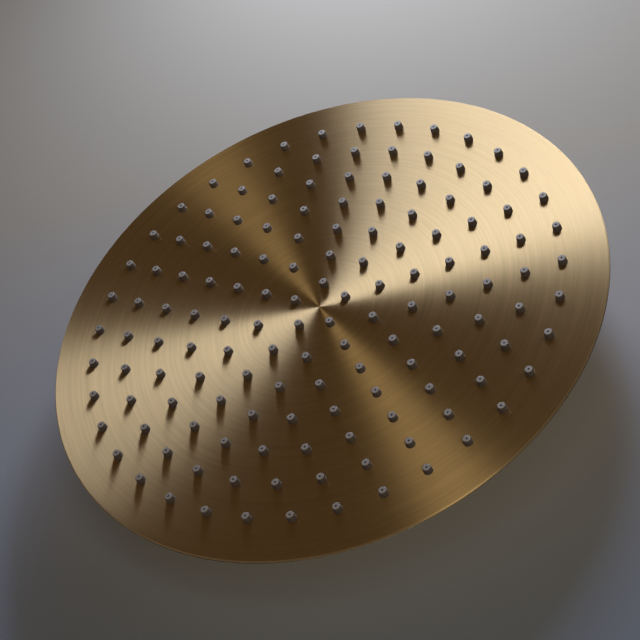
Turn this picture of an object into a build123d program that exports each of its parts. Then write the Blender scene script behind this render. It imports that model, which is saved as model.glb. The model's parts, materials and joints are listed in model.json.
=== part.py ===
from build123d import *
import os
from math import acos, asin, cos, degrees, radians, sin, sqrt, tan

# Rain shower head: a thin welded disc with rings of silicone nozzles, hung on a ball-joint inlet.
# Sizes are in millimetres and angles in degrees. The head hangs face down and +Z is up. The origin
# is the centre of the inlet's mouth, where the supply pipe screws in.

# Disc
head_diameter = 300.0
face_thickness = 1.0
back_thickness = 1.0
rim_flange_width = 14.0
rim_chamfer = 0.55
chamber_height = 4.0
tray_wall_angle = 45.0
tray_bend_radius = 1.5

# Nozzles: ring n holds n times as many as the first ring
ring_count = 7
first_ring_count = 5
first_ring_radius = 14.6
outer_ring_gap = 4.9
nozzle_base_diameter = 4.8
nozzle_tip_diameter = 4.0
nozzle_height = 3.2
nozzle_tip_round = 0.4
nozzle_neck_diameter = 3.8
nozzle_flange_diameter = 6.4
nozzle_flange_thickness = 1.0
orifice_diameter = 1.0
nozzle_entry_diameter = 2.2
nozzle_clearance = 0.05

# Stay posts stand in two circles, each midway between a nozzle ring of this number and the next
post_diameter = 6.0
inner_post_ring_number = 3
inner_post_count = 5
outer_post_ring_number = 5
outer_post_count = 10

# Inlet socket, a G 1/2 pipe thread
thread_minor_diameter = 18.631
thread_major_diameter = 20.955
thread_depth = 11.0
thread_relief = 0.1
mouth_chamfer = 0.8
hex_sides = 6
hex_across_flats = 25.0
hex_chamfer_angle = 30.0
hex_skirt = 1.5
shoulder_floor = 2.7
shoulder_blend = 1.5

# Gasket, screen and flow regulator in the socket
gasket_thickness = 2.3
gasket_bore_diameter = 11.2
gasket_clearance = 0.1
gasket_gap = 0.2
regulator_diameter = 12.8
regulator_height = 4.2
regulator_floor = 1.4
regulator_wall = 0.8
regulator_post_diameter = 6.4
regulator_port_diameter = 1.4
regulator_port_count = 6
regulator_clearance = 0.1
o_ring_section = 2.0
o_ring_gap = 0.02
screen_thickness = 0.8
screen_mesh_thickness = 0.3
screen_rim_width = 1.0
screen_hole_diameter = 0.9
screen_hole_pitch = 1.5
screen_rows = 4

# Ball joint
ball_diameter = 22.0
neck_diameter = 13.6
neck_length = 2.0
water_bore_diameter = 9.0
ball_end_lip = 0.9
tilt_range = 12.0
tilt_margin = 1.3
swivel_clearance = 0.05
friction_ring_thickness = 1.2
friction_ring_span = 18.0
friction_ring_margin = 0.3

# Ball seal, seat washer, hub and nut
seal_lip = 0.9
seal_foot = 2.0
seal_recess = 0.4
seal_clearance = 0.1
washer_thickness = 1.0
washer_lap = 0.6
hub_wall = 2.6
hub_floor = 2.5
hub_rim_gap = 0.7
hub_rim_chamfer = 0.5
hub_flange_width = 9.4
hub_flange_thickness = 3.0
hub_flange_round = 1.5
hub_root_round = 0.5
hub_spigot_wall = 3.4
weld_clearance = 0.05
nut_wall = 3.3
nut_lip = 2.2
nut_crown_round = 5.0
nut_shoulder_gap = 0.4
nut_flange_gap = 0.6
nut_flat_depth = 1.6
nut_flat_height = 7.0
nut_edge_chamfer = 0.5
joint_thread_clearance = 0.1

# Radii of the socket and the ball
thread_radius = thread_minor_diameter / 2
relief_radius = thread_major_diameter / 2 + thread_relief
regulator_radius = regulator_diameter / 2
seat_radius = regulator_radius + regulator_clearance
bore_radius = water_bore_diameter / 2
ball_radius = ball_diameter / 2
neck_radius = neck_diameter / 2
ball_end_radius = bore_radius + ball_end_lip
hex_flat_radius = hex_across_flats / 2
hex_corner_radius = hex_flat_radius / cos(radians(180 / hex_sides))

# Heights of the connector, from the mouth down
socket_floor_z = -(thread_depth + gasket_gap + gasket_thickness)
regulator_floor_z = socket_floor_z - screen_thickness - regulator_height
hex_bottom_z = socket_floor_z - hex_skirt
neck_top_z = regulator_floor_z - shoulder_floor
ball_top = sqrt(ball_radius**2 - neck_radius**2)
ball_end = sqrt(ball_radius**2 - ball_end_radius**2)
ball_z = neck_top_z - neck_length - ball_top

# Angles of the ball joint, measured from straight up at the ball's centre
corner_tilt = degrees(acos(cos(radians(tilt_range)) ** 2))
mouth_angle = degrees(asin(neck_radius / ball_radius)) + corner_tilt + tilt_margin
ring_upper_angle = mouth_angle + tilt_range + friction_ring_margin
ring_lower_angle = ring_upper_angle + friction_ring_span
seal_lower_angle = 180 - degrees(asin(ball_end_radius / ball_radius)) - corner_tilt - tilt_margin

# Nested spheres of the ball joint
ring_inner_radius = ball_radius + swivel_clearance
ring_outer_radius = ring_inner_radius + friction_ring_thickness
nut_sphere_radius = ring_outer_radius + swivel_clearance

# Heights of the hub and the nut, from the ball's centre down
hub_rim_z = ball_z + nut_sphere_radius * cos(radians(ring_lower_angle + tilt_range)) - hub_rim_gap
seal_top_z = hub_rim_z - seal_recess
seal_bottom_z = ball_z + ring_inner_radius * cos(radians(seal_lower_angle)) - seal_foot
hub_floor_z = seal_bottom_z - washer_thickness
plateau_z = hub_floor_z - hub_floor
nut_mouth_z = ball_z + nut_sphere_radius * cos(radians(mouth_angle))
nut_top_z = nut_mouth_z + nut_lip
nut_bottom_z = plateau_z + hub_flange_thickness + nut_flange_gap
nut_shoulder_z = hub_rim_z + nut_shoulder_gap

# Radii of the seal, the hub and the nut
seal_inner_radius = ring_inner_radius * sin(radians(seal_lower_angle))
seal_outer_radius = ring_inner_radius + seal_lip
passage_radius = seal_inner_radius - washer_lap
hub_bore_radius = seal_outer_radius + seal_clearance
hub_thread_radius = hub_bore_radius + hub_wall
hub_flange_radius = hub_thread_radius + hub_flange_width
spigot_radius = passage_radius + hub_spigot_wall
nut_bore_radius = hub_thread_radius + joint_thread_clearance
nut_radius = nut_bore_radius + nut_wall
nut_mouth_radius = nut_sphere_radius * sin(radians(mouth_angle))

# Heights of the disc, from the back plate's flat down to the nozzle tips
chamber_top_z = plateau_z - back_thickness
face_inner_z = chamber_top_z - chamber_height
face_outer_z = face_inner_z - face_thickness
nozzle_tip_z = face_outer_z - nozzle_height

# Radii of the disc, and the nozzle pattern between its middle and the tray's wall
head_radius = head_diameter / 2
tray_foot_radius = head_radius - rim_flange_width
tray_top_radius = tray_foot_radius - chamber_height / tan(radians(tray_wall_angle))
tray_bend_shift = back_thickness * tan(radians(tray_wall_angle / 2))
outer_ring_radius = tray_top_radius - outer_ring_gap
ring_pitch = (outer_ring_radius - first_ring_radius) / (ring_count - 1)
nozzle_line_angle = -90.0


def ring_radius(number):
    """Radius of a nozzle ring, counted from 1 at the middle; halves lie between two rings."""
    return first_ring_radius + (number - 1) * ring_pitch


# Face plate: a flat disc with a hole for each nozzle and a fine chamfer around its lower edge
with BuildPart() as face_plate:
    with BuildSketch(Plane.XY.offset(face_outer_z)):
        Circle(head_radius)
        for number in range(1, ring_count + 1):
            count = number * first_ring_count
            with PolarLocations(ring_radius(number), count, start_angle=nozzle_line_angle):
                Circle(nozzle_neck_diameter / 2 + nozzle_clearance, mode=Mode.SUBTRACT)
    extrude(amount=face_thickness)
    round_edges = face_plate.edges().filter_by(GeomType.CIRCLE)
    face_rim = round_edges.group_by(SortBy.RADIUS)[-1].sort_by(Axis.Z)[0]
    chamfer(face_rim, rim_chamfer)

# Back plate: pressed from one sheet, a flat welded rim, a sloping wall and a raised flat
with BuildPart() as back_plate:
    with BuildSketch(Plane.XZ):
        with BuildLine():
            chamber_side = FilletPolyline(
                (head_radius, face_inner_z),
                (tray_foot_radius, face_inner_z),
                (tray_top_radius, chamber_top_z),
                (spigot_radius + weld_clearance, chamber_top_z),
                radius=[tray_bend_radius + back_thickness, tray_bend_radius],
            )
            outer_side = FilletPolyline(
                (spigot_radius + weld_clearance, plateau_z),
                (tray_top_radius + tray_bend_shift, plateau_z),
                (tray_foot_radius + tray_bend_shift, face_inner_z + back_thickness),
                (head_radius - rim_chamfer, face_inner_z + back_thickness),
                (head_radius, face_inner_z + back_thickness - rim_chamfer),
                radius=[tray_bend_radius + back_thickness, tray_bend_radius, 0],
            )
            Line(chamber_side @ 1, outer_side @ 0)
            Line(outer_side @ 1, chamber_side @ 0)
        make_face()
    revolve(axis=Axis.Z)

# One nozzle: a tapered tip below the plate, a neck in its hole, a flange inside and a tapered bore
with BuildPart() as nozzle:
    with BuildSketch(Plane.XZ):
        with BuildLine():
            FilletPolyline(
                (orifice_diameter / 2, nozzle_tip_z),
                (nozzle_tip_diameter / 2, nozzle_tip_z),
                (nozzle_base_diameter / 2, face_outer_z),
                (nozzle_neck_diameter / 2, face_outer_z),
                (nozzle_neck_diameter / 2, face_inner_z),
                (nozzle_flange_diameter / 2, face_inner_z),
                (nozzle_flange_diameter / 2, face_inner_z + nozzle_flange_thickness),
                (nozzle_entry_diameter / 2, face_inner_z + nozzle_flange_thickness),
                radius=[0, nozzle_tip_round, 0, 0, 0, 0, 0, 0],
                close=True,
            )
        make_face()
    revolve(axis=Axis.Z)

# Nozzle rings
nozzle_rings = []
for number in range(1, ring_count + 1):
    with BuildPart() as nozzle_ring:
        count = number * first_ring_count
        with PolarLocations(ring_radius(number), count, start_angle=nozzle_line_angle):
            add(nozzle.part)
    nozzle_rings.append(nozzle_ring)

# Stay posts: studs between the plates, midway between nozzle rings and between radial lines
with BuildPart() as stay_posts:
    with BuildSketch(Plane.XY.offset(face_inner_z)):
        for number, count in (
            (inner_post_ring_number, inner_post_count),
            (outer_post_ring_number, outer_post_count),
        ):
            start = nozzle_line_angle + 180 / count
            with PolarLocations(ring_radius(number + 0.5), count, start_angle=start):
                Circle(post_diameter / 2)
    extrude(amount=chamber_height)

# Hub: a flanged cup welded in the back plate, with an outside thread for the nut
with BuildPart() as hub:
    with BuildSketch(Plane.XZ):
        with BuildLine():
            FilletPolyline(
                (passage_radius, chamber_top_z),
                (spigot_radius, chamber_top_z),
                (spigot_radius, plateau_z),
                (hub_flange_radius, plateau_z),
                (hub_flange_radius, plateau_z + hub_flange_thickness),
                (hub_thread_radius, plateau_z + hub_flange_thickness),
                (hub_thread_radius, hub_rim_z - hub_rim_chamfer),
                (hub_thread_radius - hub_rim_chamfer, hub_rim_z),
                (hub_bore_radius, hub_rim_z),
                (hub_bore_radius, hub_floor_z),
                (passage_radius, hub_floor_z),
                radius=[0, 0, 0, 0, hub_flange_round, hub_root_round, 0, 0, 0, 0, 0],
                close=True,
            )
        make_face()
    revolve(axis=Axis.Z)

# Seat washer: flat ring on the hub's floor
with BuildPart() as seat_washer:
    with BuildSketch(Plane.XY.offset(hub_floor_z)):
        Circle(seal_outer_radius)
        Circle(passage_radius, mode=Mode.SUBTRACT)
    extrude(amount=washer_thickness)

# Ball seal: a ring whose upper side is a seat for the ball
with BuildPart() as ball_seal:
    with BuildSketch(Plane.XZ):
        with BuildLine():
            seal_upper_angle = degrees(acos((seal_top_z - ball_z) / ring_inner_radius))
            seat = CenterArc(
                (0, ball_z),
                ring_inner_radius,
                90 - seal_upper_angle,
                seal_upper_angle - seal_lower_angle,
            )
            Polyline(
                seat @ 1,
                (seal_inner_radius, seal_bottom_z),
                (seal_outer_radius, seal_bottom_z),
                (seal_outer_radius, seal_top_z),
                seat @ 0,
            )
        make_face()
    revolve(axis=Axis.Z)

# Ball connector: hexagon with the threaded socket, shoulder, neck and ball, bored through
with BuildPart() as ball_connector:
    with BuildSketch(Plane.XY.offset(hex_bottom_z)):
        RegularPolygon(hex_flat_radius, hex_sides, major_radius=False)
    extrude(amount=-hex_bottom_z)
    with BuildSketch(Plane.XZ):
        with BuildLine():
            chamfer_drop = (hex_corner_radius - hex_flat_radius) * tan(radians(hex_chamfer_angle))
            Polyline(
                (0, 0),
                (hex_flat_radius, 0),
                (hex_corner_radius, -chamfer_drop),
                (hex_corner_radius, hex_bottom_z + chamfer_drop),
                (hex_flat_radius, hex_bottom_z),
                (0, hex_bottom_z),
                close=True,
            )
        make_face()
    revolve(axis=Axis.Z, mode=Mode.INTERSECT)
    with BuildSketch(Plane.XZ):
        with BuildLine():
            FilletPolyline(
                (0, hex_bottom_z),
                (hex_flat_radius, hex_bottom_z),
                (neck_radius, neck_top_z),
                (neck_radius, ball_z + ball_top),
                radius=[0, shoulder_blend],
            )
            neck_angle = degrees(acos(ball_top / ball_radius))
            end_angle = 180 - degrees(acos(ball_end / ball_radius))
            ball_arc = CenterArc((0, ball_z), ball_radius, 90 - neck_angle, neck_angle - end_angle)
            Polyline(ball_arc @ 1, (0, ball_z - ball_end), (0, hex_bottom_z))
        make_face()
    revolve(axis=Axis.Z)
    with BuildSketch(Plane.XZ):
        with BuildLine():
            Polyline(
                (0, 0),
                (thread_radius + mouth_chamfer, 0),
                (thread_radius, -mouth_chamfer),
                (thread_radius, -thread_depth),
                (relief_radius, -thread_depth),
                (relief_radius, socket_floor_z),
                (seat_radius, socket_floor_z),
                (seat_radius, regulator_floor_z),
                (bore_radius, regulator_floor_z),
                (bore_radius, ball_z - ball_end),
                (0, ball_z - ball_end),
                close=True,
            )
        make_face()
    revolve(axis=Axis.Z, mode=Mode.SUBTRACT)

# Friction ring: a zone of a hollow sphere between the ball and the nut
with BuildPart() as friction_ring:
    with BuildSketch(Plane.XZ):
        with BuildLine():
            start = 90 - ring_upper_angle
            inner_arc = CenterArc((0, ball_z), ring_inner_radius, start, -friction_ring_span)
            outer_arc = CenterArc((0, ball_z), ring_outer_radius, start, -friction_ring_span)
            Line(inner_arc @ 0, outer_arc @ 0)
            Line(inner_arc @ 1, outer_arc @ 1)
        make_face()
    revolve(axis=Axis.Z)

# Retaining nut: screwed over the hub, domed inside for the friction ring, two flats for a wrench
with BuildPart() as retaining_nut:
    with BuildSketch(Plane.XZ):
        with BuildLine():
            dome = CenterArc((0, ball_z), nut_sphere_radius, 0, 90 - mouth_angle)
            FilletPolyline(
                dome @ 1,
                (nut_mouth_radius + nut_lip, nut_top_z),
                (nut_radius, nut_top_z),
                (nut_radius, nut_bottom_z + nut_edge_chamfer),
                (nut_radius - nut_edge_chamfer, nut_bottom_z),
                (nut_bore_radius, nut_bottom_z),
                (nut_bore_radius, nut_shoulder_z),
                (nut_sphere_radius, nut_shoulder_z),
                dome @ 0,
                radius=[0, nut_crown_round, 0, 0, 0, 0, 0],
            )
        make_face()
    revolve(axis=Axis.Z)
    with BuildSketch(Plane.XY.offset(nut_bottom_z)):
        with PolarLocations(nut_radius, 2):
            Rectangle(2 * nut_flat_depth, 2 * nut_radius)
    extrude(amount=nut_flat_height, mode=Mode.SUBTRACT)

# Inlet gasket: flat ring on the socket's floor
with BuildPart() as inlet_gasket:
    with BuildSketch(Plane.XY.offset(socket_floor_z)):
        Circle(thread_radius - gasket_clearance)
        Circle(gasket_bore_diameter / 2, mode=Mode.SUBTRACT)
    extrude(amount=gasket_thickness)

# Filter screen: a rimmed disc with a honeycomb of holes, held down by the gasket
with BuildPart() as filter_screen:
    screen_z = socket_floor_z - screen_thickness
    with BuildSketch(Plane.XY.offset(screen_z)):
        Circle(regulator_radius)
        Circle(regulator_radius - screen_rim_width, mode=Mode.SUBTRACT)
    extrude(amount=screen_thickness)
    with BuildSketch(Plane.XY.offset(screen_z)):
        Circle(regulator_radius - screen_rim_width / 2)
        with HexLocations(screen_hole_pitch / 2, screen_rows, screen_rows, major_radius=False):
            Circle(screen_hole_diameter / 2, mode=Mode.SUBTRACT)
    extrude(amount=screen_mesh_thickness)

# Flow regulator: a disc with a ring channel, a middle post and ports through the channel's floor
channel_radius = (regulator_radius - regulator_wall + regulator_post_diameter / 2) / 2
with BuildPart() as flow_regulator:
    with BuildSketch(Plane.XY.offset(regulator_floor_z)):
        Circle(regulator_radius)
        with PolarLocations(channel_radius, regulator_port_count):
            Circle(regulator_port_diameter / 2, mode=Mode.SUBTRACT)
    extrude(amount=regulator_floor)
    with BuildSketch(Plane.XY.offset(regulator_floor_z + regulator_floor)):
        Circle(regulator_radius)
        Circle(regulator_radius - regulator_wall, mode=Mode.SUBTRACT)
        Circle(regulator_post_diameter / 2)
    extrude(amount=regulator_height - regulator_floor)

# Regulator ring: an O-ring lying in the channel
with BuildPart() as regulator_ring:
    with BuildSketch(Plane.XZ):
        o_ring_z = regulator_floor_z + regulator_floor + o_ring_gap + o_ring_section / 2
        with Locations((channel_radius, o_ring_z)):
            Circle(o_ring_section / 2)
    revolve(axis=Axis.Z)

# Labels and files
os.makedirs("parts", exist_ok=True)
face_plate.part.label = "face_plate"
export_step(face_plate.part, "parts/face_plate.step")
back_plate.part.label = "back_plate"
export_step(back_plate.part, "parts/back_plate.step")
for number, nozzle_ring in enumerate(nozzle_rings, start=1):
    nozzle_ring.part.label = f"nozzles_ring_{number}"
    export_step(nozzle_ring.part, f"parts/nozzles_ring_{number}.step")
stay_posts.part.label = "stay_posts"
export_step(stay_posts.part, "parts/stay_posts.step")
hub.part.label = "hub"
export_step(hub.part, "parts/hub.step")
seat_washer.part.label = "seat_washer"
export_step(seat_washer.part, "parts/seat_washer.step")
ball_seal.part.label = "ball_seal"
export_step(ball_seal.part, "parts/ball_seal.step")
ball_connector.part.label = "ball_connector"
export_step(ball_connector.part, "parts/ball_connector.step")
friction_ring.part.label = "friction_ring"
export_step(friction_ring.part, "parts/friction_ring.step")
retaining_nut.part.label = "retaining_nut"
export_step(retaining_nut.part, "parts/retaining_nut.step")
inlet_gasket.part.label = "inlet_gasket"
export_step(inlet_gasket.part, "parts/inlet_gasket.step")
filter_screen.part.label = "filter_screen"
export_step(filter_screen.part, "parts/filter_screen.step")
flow_regulator.part.label = "flow_regulator"
export_step(flow_regulator.part, "parts/flow_regulator.step")
regulator_ring.part.label = "regulator_ring"
export_step(regulator_ring.part, "parts/regulator_ring.step")
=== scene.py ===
import json
from math import atan2, cos, pi, radians, sin

import bmesh
import bpy
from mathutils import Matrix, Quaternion, Vector


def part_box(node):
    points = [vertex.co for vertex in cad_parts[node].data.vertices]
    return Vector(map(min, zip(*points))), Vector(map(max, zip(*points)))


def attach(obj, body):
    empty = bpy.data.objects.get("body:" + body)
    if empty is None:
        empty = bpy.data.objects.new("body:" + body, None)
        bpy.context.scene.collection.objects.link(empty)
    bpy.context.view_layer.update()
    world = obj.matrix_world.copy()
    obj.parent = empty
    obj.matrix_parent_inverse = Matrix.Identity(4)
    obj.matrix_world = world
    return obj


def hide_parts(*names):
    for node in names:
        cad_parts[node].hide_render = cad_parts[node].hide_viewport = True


# Looks of a brushed gold rain shower head. Lengths are in metres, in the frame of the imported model:
# the head hangs face down, +Z is up and the origin is the middle of the inlet's mouth.

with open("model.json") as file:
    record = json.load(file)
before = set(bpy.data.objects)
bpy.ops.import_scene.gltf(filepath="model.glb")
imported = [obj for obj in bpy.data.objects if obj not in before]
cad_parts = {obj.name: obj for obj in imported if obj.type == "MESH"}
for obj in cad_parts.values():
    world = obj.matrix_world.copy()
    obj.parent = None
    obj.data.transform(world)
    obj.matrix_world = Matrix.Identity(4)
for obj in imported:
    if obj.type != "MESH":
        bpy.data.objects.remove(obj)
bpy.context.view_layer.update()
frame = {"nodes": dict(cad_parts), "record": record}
nodes = frame["nodes"]

# Places read from the frame
face_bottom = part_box("face_plate")[0].z
face_centre = Vector((0, 0, face_bottom))
inlet_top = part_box("ball_connector")[1].z
flange_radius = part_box("hub")[1].x
plate_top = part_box("back_plate")[1].z

# Camera: the photograph's view of the spray face, from below and rolled
view_azimuth = radians(3.28)
view_elevation = radians(45.63)
view_roll = radians(151.23)
view_distance = 0.8291
view_angle = radians(22.27)
aim_shift = Vector((0.0035, -0.0083, 0))

# Stage: the backdrop's colour changes along its fade, from near to far. This is a painted counter-tint:
# bluish on the near side, where the warm front panel lights it, and warm on the far side, toward the cool
# key panel.
backdrop_gap = 0.004
backdrop_height = inlet_top + backdrop_gap
backdrop_size = 2.5
backdrop_fade = (-0.57, 0.82, 0)
fade_start = -0.25
fade_end = 0.15
backdrop_near = (0.30, 0.395, 0.61, 1)
backdrop_far = (0.405, 0.375, 0.325, 1)
floor_drop = 0.7
floor_height = face_bottom - floor_drop
floor_size = 400.0
floor_colour = (0.60, 0.60, 0.61, 1)
floor_glow = 0.5
paint_roughness = 0.8
paint_gloss = 0.1

# Surround: dim and warm below the head, grey from the horizon up. Heights run from 0 below to 1 above.
ambient_top = 0.455
ambient_colour = (0.0914, 0.0636, 0.0375, 1)
zenith_grey = 0.65
sky_greys = ((0.48, 0.46), (0.71, 0.44), (0.79, 0.03), (0.90, 0.03))

# Watts that a lamp needs for each square metre and unit of radiance
panel_power = 4

# Finishes, as linear colours
gold_light = (0.750, 0.541, 0.282, 1)
gold_dark = (0.585, 0.422, 0.219, 1)
# The silicone's colours carry painted light: the paler tip colour is a painted highlight on the level
# tips, and the two darker colours below are painted shade on the upright sides.
silicone_lit_tip = (0.345, 0.316, 0.298, 1)
silicone_light = (0.140, 0.128, 0.138, 1)
silicone_dark = (0.116, 0.106, 0.118, 1)
rubber_light = (0.030, 0.030, 0.032, 1)
rubber_dark = (0.014, 0.014, 0.015, 1)
plastic_light = (0.80, 0.79, 0.76, 1)
plastic_dark = (0.70, 0.69, 0.66, 1)
steel_light = (0.60, 0.60, 0.61, 1)
steel_dark = (0.48, 0.48, 0.49, 1)

# Roughness of the gold: brushed faces, bevels, cut edges and polished brass
brushed_smooth = 0.42
brushed_rough = 0.51
bevel_roughness = 0.42
cut_edge_roughness = 0.13
brass_smooth = 0.25
brass_rough = 0.36

# Heights of a face's normal, from 0 for upright faces to 1 for level ones, between which a finish changes
edge_to_bevel = (0.3, 0.6)
bevel_to_face = (0.8, 0.97)
# The silicone turns from its painted shade on the sides to its painted highlight on the tips between these
# heights.
shaded_side_to_lit_tip = (0.5, 0.95)

# Brush marks: the broad ones have shorter arcs and are four times as wide as the fine ones
broad_stretch = (1.5, 1.5, 0.25)
brush_strength = 0.05
brush_depth = 0.0002
brass_lines = 4000.0
brass_strength = 0.08
brass_depth = 0.0001

# Grain of moulded and rolled surfaces
grain_strength = 0.3
grain_contrast = 0.06

# The middle of a noise value, which is spread over a finish's whole range
noise_low = 0.3
noise_high = 0.7

# Inlet thread, G 1/2: the socket's wall is the crest, and the groove is cut outwards from it
thread_crest = 0.0093155
thread_root = 0.0104775
thread_pitch = 0.001814
thread_top = -0.0008
thread_bottom = -0.011
thread_runout = 0.0009
thread_cuts = 56
thread_sharp_angle = radians(20)

# Weld between the hub's flange and the back plate
weld_leg = 0.0011
weld_sink = 0.0002
weld_toe = 0.0001
weld_belly_out = 0.55 * weld_leg
weld_belly_up = 0.45 * weld_leg
weld_ripples = 120
weld_ripple_start = 0.3 * weld_leg
weld_ripple_depth = 0.00012
weld_ripple_steps = 4
weld_sharp_angle = radians(60)

# Points closer than this are one point, and points this near to a wall are on it
merge_distance = 0.000002
wall_tolerance = 0.00002


def add_node(tree, kind, **settings):
    """A node with its properties set by name and its inputs by socket name, underscores for spaces."""
    node = tree.nodes.new(kind)
    for name, value in settings.items():
        socket = node.inputs.get(name.replace("_", " "))
        if socket is None:
            setattr(node, name, value)
        else:
            feed(tree, value, socket)
    return node


def feed(tree, value, socket):
    """Links a socket to an input, or sets the input to a plain value."""
    if isinstance(value, bpy.types.NodeSocket):
        tree.links.new(value, socket)
    else:
        socket.default_value = value


def math_node(tree, operation, *values):
    """A Math node whose inputs are numbers or sockets, in order."""
    node = tree.nodes.new("ShaderNodeMath")
    node.operation = operation
    for socket, value in zip(node.inputs, values):
        feed(tree, value, socket)
    return node.outputs["Value"]


def mix_colours(tree, factor, first, second):
    """The first colour where the factor is 0, and the second where it is 1."""
    mix = add_node(tree, "ShaderNodeMix", data_type="RGBA")
    tree.links.new(factor, mix.inputs["Factor"])
    colours = [socket for socket in mix.inputs if socket.type == "RGBA"]
    feed(tree, first, colours[0])
    feed(tree, second, colours[1])
    return next(socket for socket in mix.outputs if socket.type == "RGBA")


def new_group(name, inputs, outputs):
    """An empty shader node group, with its input and output nodes."""
    group = bpy.data.node_groups.new(name, "ShaderNodeTree")
    for label, kind, value in inputs:
        socket = group.interface.new_socket(label, in_out="INPUT", socket_type=kind)
        if value is not None:
            socket.default_value = value
    for label, kind in outputs:
        group.interface.new_socket(label, in_out="OUTPUT", socket_type=kind)
    return group, group.nodes.new("NodeGroupInput"), group.nodes.new("NodeGroupOutput")


def turned_lines_group():
    """Fine lines around the Z axis, as a turned brush leaves them, broken into long arcs."""
    group, given, result = new_group(
        "Turned Lines",
        [
            ("Vector", "NodeSocketVector", None),
            ("Lines per Metre", "NodeSocketFloat", 2500.0),
            ("Arcs per Metre", "NodeSocketFloat", 6.0),
        ],
        [("Fine", "NodeSocketFloat"), ("Broad", "NodeSocketFloat")],
    )
    axes = add_node(group, "ShaderNodeSeparateXYZ", Vector=given.outputs["Vector"])
    flat = add_node(group, "ShaderNodeCombineXYZ", X=axes.outputs["X"], Y=axes.outputs["Y"])
    radius = add_node(group, "ShaderNodeVectorMath", operation="LENGTH", Vector=flat.outputs["Vector"])
    across = math_node(group, "SUBTRACT", radius.outputs["Value"], axes.outputs["Z"])
    arcs = given.outputs["Arcs per Metre"]
    line_space = add_node(
        group,
        "ShaderNodeCombineXYZ",
        X=math_node(group, "MULTIPLY", axes.outputs["X"], arcs),
        Y=math_node(group, "MULTIPLY", axes.outputs["Y"], arcs),
        Z=math_node(group, "MULTIPLY", across, given.outputs["Lines per Metre"]),
    )
    fine = add_node(
        group,
        "ShaderNodeTexNoise",
        Vector=line_space.outputs["Vector"],
        Scale=1.0,
        Detail=2.0,
        Roughness=0.6,
    )
    broad_space = add_node(
        group,
        "ShaderNodeVectorMath",
        operation="MULTIPLY",
        Vector=line_space.outputs["Vector"],
    )
    broad_space.inputs[1].default_value = broad_stretch
    broad = add_node(
        group,
        "ShaderNodeTexNoise",
        Vector=broad_space.outputs["Vector"],
        Scale=1.0,
        Detail=5.0,
        Roughness=0.8,
    )
    group.links.new(fine.outputs["Fac"], result.inputs["Fine"])
    group.links.new(broad.outputs["Fac"], result.inputs["Broad"])
    return group


def speckle_group():
    """Soft clouds and fine grain for moulded and rolled surfaces."""
    group, given, result = new_group(
        "Speckle",
        [
            ("Vector", "NodeSocketVector", None),
            ("Clouds per Metre", "NodeSocketFloat", 120.0),
            ("Grains per Metre", "NodeSocketFloat", 4000.0),
        ],
        [("Clouds", "NodeSocketFloat"), ("Grains", "NodeSocketFloat")],
    )
    clouds = add_node(
        group,
        "ShaderNodeTexNoise",
        Vector=given.outputs["Vector"],
        Scale=given.outputs["Clouds per Metre"],
        Detail=3.0,
    )
    grains = add_node(
        group,
        "ShaderNodeTexNoise",
        Vector=given.outputs["Vector"],
        Scale=given.outputs["Grains per Metre"],
        Detail=2.0,
    )
    group.links.new(clouds.outputs["Fac"], result.inputs["Clouds"])
    group.links.new(grains.outputs["Fac"], result.inputs["Grains"])
    return group


turned_lines = turned_lines_group()
speckle = speckle_group()


def new_material(name):
    """A material with a Principled shader and Object coordinates."""
    material = bpy.data.materials.new(name)
    material.use_nodes = True
    tree = material.node_tree
    shader = tree.nodes["Principled BSDF"]
    place = add_node(tree, "ShaderNodeTexCoord").outputs["Object"]
    return material, tree, shader, place


def vary(tree, value, low, high):
    """The middle of a noise value, spread over the range from low to high."""
    spread = add_node(
        tree,
        "ShaderNodeMapRange",
        Value=value,
        From_Min=noise_low,
        From_Max=noise_high,
        To_Min=low,
        To_Max=high,
    )
    return spread.outputs["Result"]


def blend_colours(tree, value, dark, light):
    """Dark and light colours mixed by the middle of a noise value."""
    return mix_colours(tree, vary(tree, value, 0.0, 1.0), dark, light)


def facing(tree, heights, upright=0.0, level=1.0):
    """A value for upright faces that becomes another for level ones, between two heights of the normal."""
    place = add_node(tree, "ShaderNodeTexCoord")
    normal = add_node(tree, "ShaderNodeSeparateXYZ", Vector=place.outputs["Normal"])
    height = math_node(tree, "ABSOLUTE", normal.outputs["Z"])
    mask = add_node(
        tree,
        "ShaderNodeMapRange",
        Value=height,
        From_Min=heights[0],
        From_Max=heights[1],
        To_Min=upright,
        To_Max=level,
    )
    return mask.outputs["Result"]


def gold(name, strength, depth):
    """Gold plating over turned lines, before its roughness is given."""
    material, tree, shader, place = new_material(name)
    lines = add_node(tree, "ShaderNodeGroup", node_tree=turned_lines, Vector=place)
    colour = blend_colours(tree, lines.outputs["Broad"], gold_dark, gold_light)
    tree.links.new(colour, shader.inputs["Base Color"])
    bump = add_node(
        tree,
        "ShaderNodeBump",
        Height=lines.outputs["Fine"],
        Strength=strength,
        Distance=depth,
    )
    tree.links.new(bump.outputs["Normal"], shader.inputs["Normal"])
    shader.inputs["Metallic"].default_value = 1.0
    return material, tree, shader, lines


def brushed_gold():
    """Gold-plated steel, brushed in circles: rough across the lines and sharp along them."""
    material, tree, shader, lines = gold("brushed_gold", brush_strength, brush_depth)
    brushed = vary(tree, lines.outputs["Broad"], brushed_smooth, brushed_rough)
    edge = facing(tree, edge_to_bevel, cut_edge_roughness, bevel_roughness)
    added = math_node(tree, "SUBTRACT", brushed, edge)
    rough = math_node(tree, "MULTIPLY_ADD", added, facing(tree, bevel_to_face), edge)
    tree.links.new(rough, shader.inputs["Roughness"])
    tangent = add_node(tree, "ShaderNodeTangent", direction_type="RADIAL", axis="Z")
    tree.links.new(tangent.outputs["Tangent"], shader.inputs["Tangent"])
    shader.inputs["Anisotropic"].default_value = 1.0
    shader.inputs["Anisotropic Rotation"].default_value = 0.25
    return material


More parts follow.
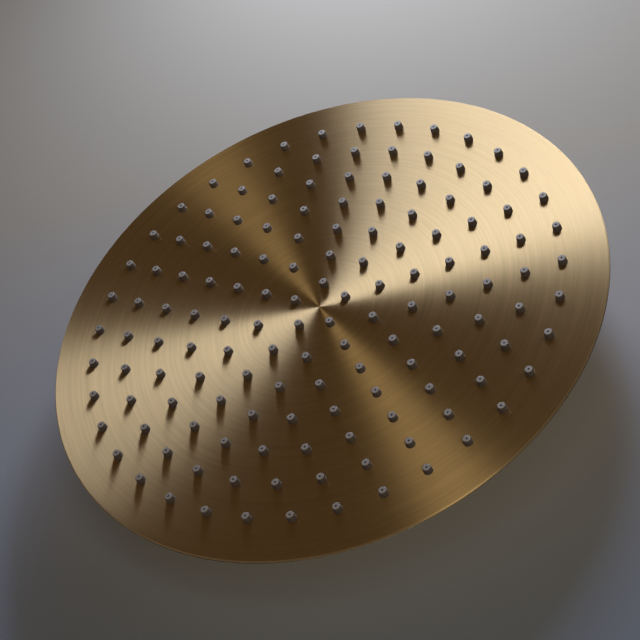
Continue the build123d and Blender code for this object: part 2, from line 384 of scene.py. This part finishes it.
def satin_gold():
    """Gold-plated brass, turned and then softly polished."""
    material, tree, shader, lines = gold("satin_gold", brass_strength, brass_depth)
    lines.inputs["Lines per Metre"].default_value = brass_lines
    rough = vary(tree, lines.outputs["Fine"], brass_smooth, brass_rough)
    tree.links.new(rough, shader.inputs["Roughness"])
    return material


def moulded(name, dark, light, roughness, grain_depth):
    """A moulded or rolled surface with faint clouds of colour and a fine grain."""
    material, tree, shader, place = new_material(name)
    grain = add_node(tree, "ShaderNodeGroup", node_tree=speckle, Vector=place)
    colour = blend_colours(tree, grain.outputs["Clouds"], dark, light)
    tree.links.new(colour, shader.inputs["Base Color"])
    grains = grain.outputs["Grains"]
    rough = vary(tree, grains, roughness - grain_contrast, roughness + grain_contrast)
    tree.links.new(rough, shader.inputs["Roughness"])
    bump = add_node(
        tree,
        "ShaderNodeBump",
        Height=grains,
        Strength=grain_strength,
        Distance=grain_depth,
    )
    tree.links.new(bump.outputs["Normal"], shader.inputs["Normal"])
    return material


def silicone():
    """Grey silicone with painted light: a painted highlight makes the level tips paler, and the upright
    sides stay darker in painted shade.
    """
    material = moulded(
        "grey_silicone",
        silicone_dark,
        silicone_light,
        roughness=0.55,
        grain_depth=0.00005,
    )
    tree = material.node_tree
    base = tree.nodes["Principled BSDF"].inputs["Base Color"]
    side = base.links[0].from_socket
    # Painted light: the side colour is painted shade and the tip colour a painted highlight, mixed by how
    # level the face is.
    tree.links.new(mix_colours(tree, facing(tree, shaded_side_to_lit_tip), side, silicone_lit_tip), base)
    return material


def rolled_steel():
    """Plain stainless steel with a rolled grain."""
    material = moulded("rolled_steel", steel_dark, steel_light, roughness=0.34, grain_depth=0.00003)
    material.node_tree.nodes["Principled BSDF"].inputs["Metallic"].default_value = 1.0
    return material


slot_materials = {
    "gold_steel": brushed_gold(),
    "gold_brass": satin_gold(),
    "grey_silicone": silicone(),
    "black_rubber": moulded(
        "black_rubber",
        rubber_dark,
        rubber_light,
        roughness=0.55,
        grain_depth=0.00005,
    ),
    "white_plastic": moulded(
        "white_plastic",
        plastic_dark,
        plastic_light,
        roughness=0.4,
        grain_depth=0.00003,
    ),
    "steel": rolled_steel(),
}

# CAD nodes take the finish of their slot in the record
for piece in frame["record"]["subparts"]:
    mesh = nodes[piece["node"]].data
    mesh.materials.clear()
    mesh.materials.append(slot_materials[piece["material_slot"]])


def add_mesh(name, shape):
    """Makes a finished shape into an object of the scene."""
    mesh = bpy.data.meshes.new(name)
    shape.to_mesh(mesh)
    shape.free()
    thing = bpy.data.objects.new(name, mesh)
    bpy.context.scene.collection.objects.link(thing)
    return thing


def add_piece(name, shape, body, slot):
    """A piece that rides on a body and takes the finish of a slot."""
    piece = add_mesh(name, shape)
    piece.data.materials.append(slot_materials[slot])
    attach(piece, body)
    return piece


def shade(shape, sharp_angle):
    """Smooth faces, with sharp edges where they meet at more than an angle."""
    for face in shape.faces:
        face.smooth = True
    for edge in shape.edges:
        edge.smooth = len(edge.link_faces) == 2 and edge.calc_face_angle() < sharp_angle


def on_thread_wall(vert):
    """True for a point of the socket's wall, from the mouth's chamfer down to the relief."""
    on_wall = abs(vert.co.xy.length - thread_crest) < wall_tolerance
    return on_wall and thread_bottom - wall_tolerance < vert.co.z < thread_top + wall_tolerance


def add_threaded_connector():
    """The ball connector with its pipe thread, a groove that runs out at both ends."""
    shape = bmesh.new()
    shape.from_mesh(nodes["ball_connector"].data)
    bmesh.ops.remove_doubles(shape, verts=shape.verts, dist=merge_distance)
    wall = [face for face in shape.faces if all(on_thread_wall(vert) for vert in face.verts)]
    bmesh.ops.delete(shape, geom=wall, context="FACES")
    mouths = [edge for edge in shape.edges if edge.is_boundary]
    bridge = bmesh.ops.bridge_loops(shape, edges=mouths)
    half_wall = (thread_top - thread_bottom) / 2
    uprights = [edge for edge in bridge["edges"] if edge.calc_length() > half_wall]
    cut = bmesh.ops.subdivide_edges(shape, edges=uprights, cuts=thread_cuts, use_grid_fill=True)
    bmesh.ops.recalc_face_normals(shape, faces=shape.faces)
    shade(shape, thread_sharp_angle)
    for vert in [part for part in cut["geom_inner"] if isinstance(part, bmesh.types.BMVert)]:
        turn = atan2(vert.co.y, vert.co.x) / (2 * pi)
        groove = 0.5 - 0.5 * cos(2 * pi * (vert.co.z / thread_pitch - turn))
        end = min(thread_top - vert.co.z, vert.co.z - thread_bottom)
        depth = groove * min(1.0, end / thread_runout) * (thread_root - thread_crest)
        vert.co.xy *= (thread_crest + depth) / vert.co.xy.length
    piece = add_piece("threaded_connector", shape, "connector", "gold_brass")
    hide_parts("ball_connector")


def add_hub_weld():
    """A rippled fillet of weld in the corner between the hub's flange and the back plate."""
    shape = bmesh.new()
    profile = [
        (-weld_sink, -weld_sink),
        (weld_leg, -weld_sink),
        (weld_leg, weld_toe),
        (weld_belly_out, weld_belly_up),
        (weld_toe, weld_leg),
        (-weld_sink, weld_leg),
    ]
    corners = [shape.verts.new((flange_radius + out, 0, plate_top + up)) for out, up in profile]
    edges = [shape.edges.new((one, two)) for one, two in zip(corners, corners[1:] + corners[:1])]
    bmesh.ops.spin(
        shape,
        geom=corners + edges,
        cent=(0, 0, 0),
        axis=(0, 0, 1),
        angle=2 * pi,
        steps=weld_ripple_steps * weld_ripples,
        use_merge=True,
    )
    bmesh.ops.remove_doubles(shape, verts=shape.verts, dist=merge_distance)
    for vert in shape.verts:
        reach = vert.co.xy.length
        if reach > flange_radius + weld_ripple_start:
            ripple = abs(sin(0.5 * weld_ripples * atan2(vert.co.y, vert.co.x)))
            vert.co.xy *= 1 + weld_ripple_depth * ripple / reach
    bmesh.ops.recalc_face_normals(shape, faces=shape.faces)
    shade(shape, weld_sharp_angle)
    add_piece("hub_weld", shape, "head", "gold_steel")


def aim(thing, place, target, roll):
    """Places a camera or lamp so that it looks at the target, turned about its line of sight."""
    thing.location = place
    thing.rotation_mode = "QUATERNION"
    turn = Quaternion((0, 0, 1), roll)
    thing.rotation_quaternion = (target - place).to_track_quat("-Z", "Y") @ turn


def add_camera():
    """The photograph's camera."""
    lens = bpy.data.cameras.new("camera")
    lens.angle = view_angle
    camera = bpy.data.objects.new("camera", lens)
    bpy.context.scene.collection.objects.link(camera)
    level = cos(view_elevation)
    sight = Vector((-sin(view_azimuth) * level, cos(view_azimuth) * level, sin(view_elevation)))
    target = face_centre + aim_shift
    aim(camera, target - sight * view_distance, target, view_roll)
    bpy.context.scene.camera = camera


def add_panel(name, azimuth, elevation, distance, size, roll, radiance, colour):
    """A soft rectangular lamp that looks at the middle of the face; elevation is above its plane."""
    lamp = bpy.data.lights.new(name, "AREA")
    lamp.shape = "RECTANGLE"
    lamp.size, lamp.size_y = size
    lamp.energy = panel_power * lamp.size * lamp.size_y * radiance
    lamp.color = colour
    panel = bpy.data.objects.new(name, lamp)
    panel.visible_camera = False
    bpy.context.scene.collection.objects.link(panel)
    turn = radians(azimuth)
    rise = radians(elevation)
    direction = Vector((cos(rise) * cos(turn), cos(rise) * sin(turn), sin(rise)))
    aim(panel, face_centre + distance * direction, face_centre, radians(roll))


def add_lamps():
    """A low key panel and a broad one for the face, and two panels for the back."""
    add_panel(
        "key_panel",
        azimuth=126.4,
        elevation=-26.6,
        distance=0.518,
        size=(0.451, 0.115),
        roll=-43.3,
        radiance=10.6,
        colour=(0.872, 0.975, 1.19),
    )
    add_panel(
        "front_panel",
        azimuth=-99.6,
        elevation=-51.9,
        distance=0.984,
        size=(0.749, 0.310),
        roll=-91.9,
        radiance=1.15,
        colour=(0.995, 0.895, 0.661),
    )
    add_panel(
        "top_panel",
        azimuth=-35.0,
        elevation=82.0,
        distance=1.1,
        size=(0.7, 0.5),
        roll=0.0,
        radiance=2.2,
        colour=(1.0, 0.99, 0.97),
    )
    add_panel(
        "back_panel",
        azimuth=130.0,
        elevation=12.0,
        distance=1.2,
        size=(0.6, 0.3),
        roll=0.0,
        radiance=2.0,
        colour=(0.98, 0.99, 1.0),
    )


def add_surround():
    """A world that is dim below the head and grey above, with a dark band for the rim to reflect."""
    world = bpy.data.worlds.new("world")
    bpy.context.scene.world = world
    world.use_nodes = True
    tree = world.node_tree
    place = add_node(tree, "ShaderNodeTexCoord")
    axes = add_node(tree, "ShaderNodeSeparateXYZ", Vector=place.outputs["Generated"])
    height = math_node(tree, "MULTIPLY_ADD", axes.outputs["Z"], 0.5, 0.5)
    sky = add_node(tree, "ShaderNodeValToRGB", Fac=height)
    stops = sky.color_ramp.elements
    stops[0].position = ambient_top
    stops[0].color = ambient_colour
    stops[1].position = 1.0
    stops[1].color = (zenith_grey, zenith_grey, zenith_grey, 1)
    for position, grey in sky_greys:
        stops.new(position).color = (grey, grey, grey, 1)
    tree.links.new(sky.outputs["Color"], tree.nodes["Background"].inputs["Color"])


def add_sheet(name, size, height, faces_down):
    """A flat square of the stage that only the camera sees."""
    shape = bmesh.new()
    bmesh.ops.create_grid(shape, x_segments=1, y_segments=1, size=size / 2)
    if faces_down:
        bmesh.ops.reverse_faces(shape, faces=shape.faces)
    bmesh.ops.translate(shape, vec=(0, 0, height), verts=shape.verts)
    sheet = add_mesh(name, shape)
    sheet.visible_diffuse = False
    sheet.visible_glossy = False
    sheet.visible_transmission = False
    sheet.visible_shadow = False
    return sheet


def matt_paint(name):
    """A matt paint for the stage, before its colour is given."""
    material, tree, shader, place = new_material(name)
    shader.inputs["Roughness"].default_value = paint_roughness
    shader.inputs["Specular IOR Level"].default_value = paint_gloss
    return material, tree, shader, place


def add_floor():
    """A wide pale floor that glows a little, so that it meets the surround at the horizon."""
    floor = add_sheet("floor", floor_size, floor_height, False)
    paint, _, shader, _ = matt_paint("pale_paint")
    shader.inputs["Base Color"].default_value = floor_colour
    shader.inputs["Emission Color"].default_value = floor_colour
    shader.inputs["Emission Strength"].default_value = floor_glow
    floor.data.materials.append(paint)


def add_backdrop():
    """A pale backdrop above the head that is clear from behind."""
    backdrop = add_sheet("backdrop", backdrop_size, backdrop_height, True)
    paint, tree, shader, place = matt_paint("pale_backdrop")
    reach = add_node(tree, "ShaderNodeVectorMath", operation="DOT_PRODUCT", Vector=place)
    reach.inputs[1].default_value = backdrop_fade
    along = add_node(
        tree,
        "ShaderNodeMapRange",
        Value=reach.outputs["Value"],
        From_Min=fade_start,
        From_Max=fade_end,
    )
    # Painted counter-tint against the lamps' colours: bluish near and warm far along the fade.
    colour = mix_colours(tree, along.outputs["Result"], backdrop_near, backdrop_far)
    tree.links.new(colour, shader.inputs["Base Color"])
    side = add_node(tree, "ShaderNodeNewGeometry")
    clear = add_node(tree, "ShaderNodeBsdfTransparent")
    seen = add_node(tree, "ShaderNodeMixShader", Fac=side.outputs["Backfacing"])
    tree.links.new(shader.outputs["BSDF"], seen.inputs[1])
    tree.links.new(clear.outputs["BSDF"], seen.inputs[2])
    tree.links.new(seen.outputs["Shader"], tree.nodes["Material Output"].inputs["Surface"])
    backdrop.data.materials.append(paint)


add_threaded_connector()
add_hub_weld()
add_camera()
add_lamps()
add_surround()
add_floor()
add_backdrop()
bpy.context.scene.view_settings.view_transform = "Standard"
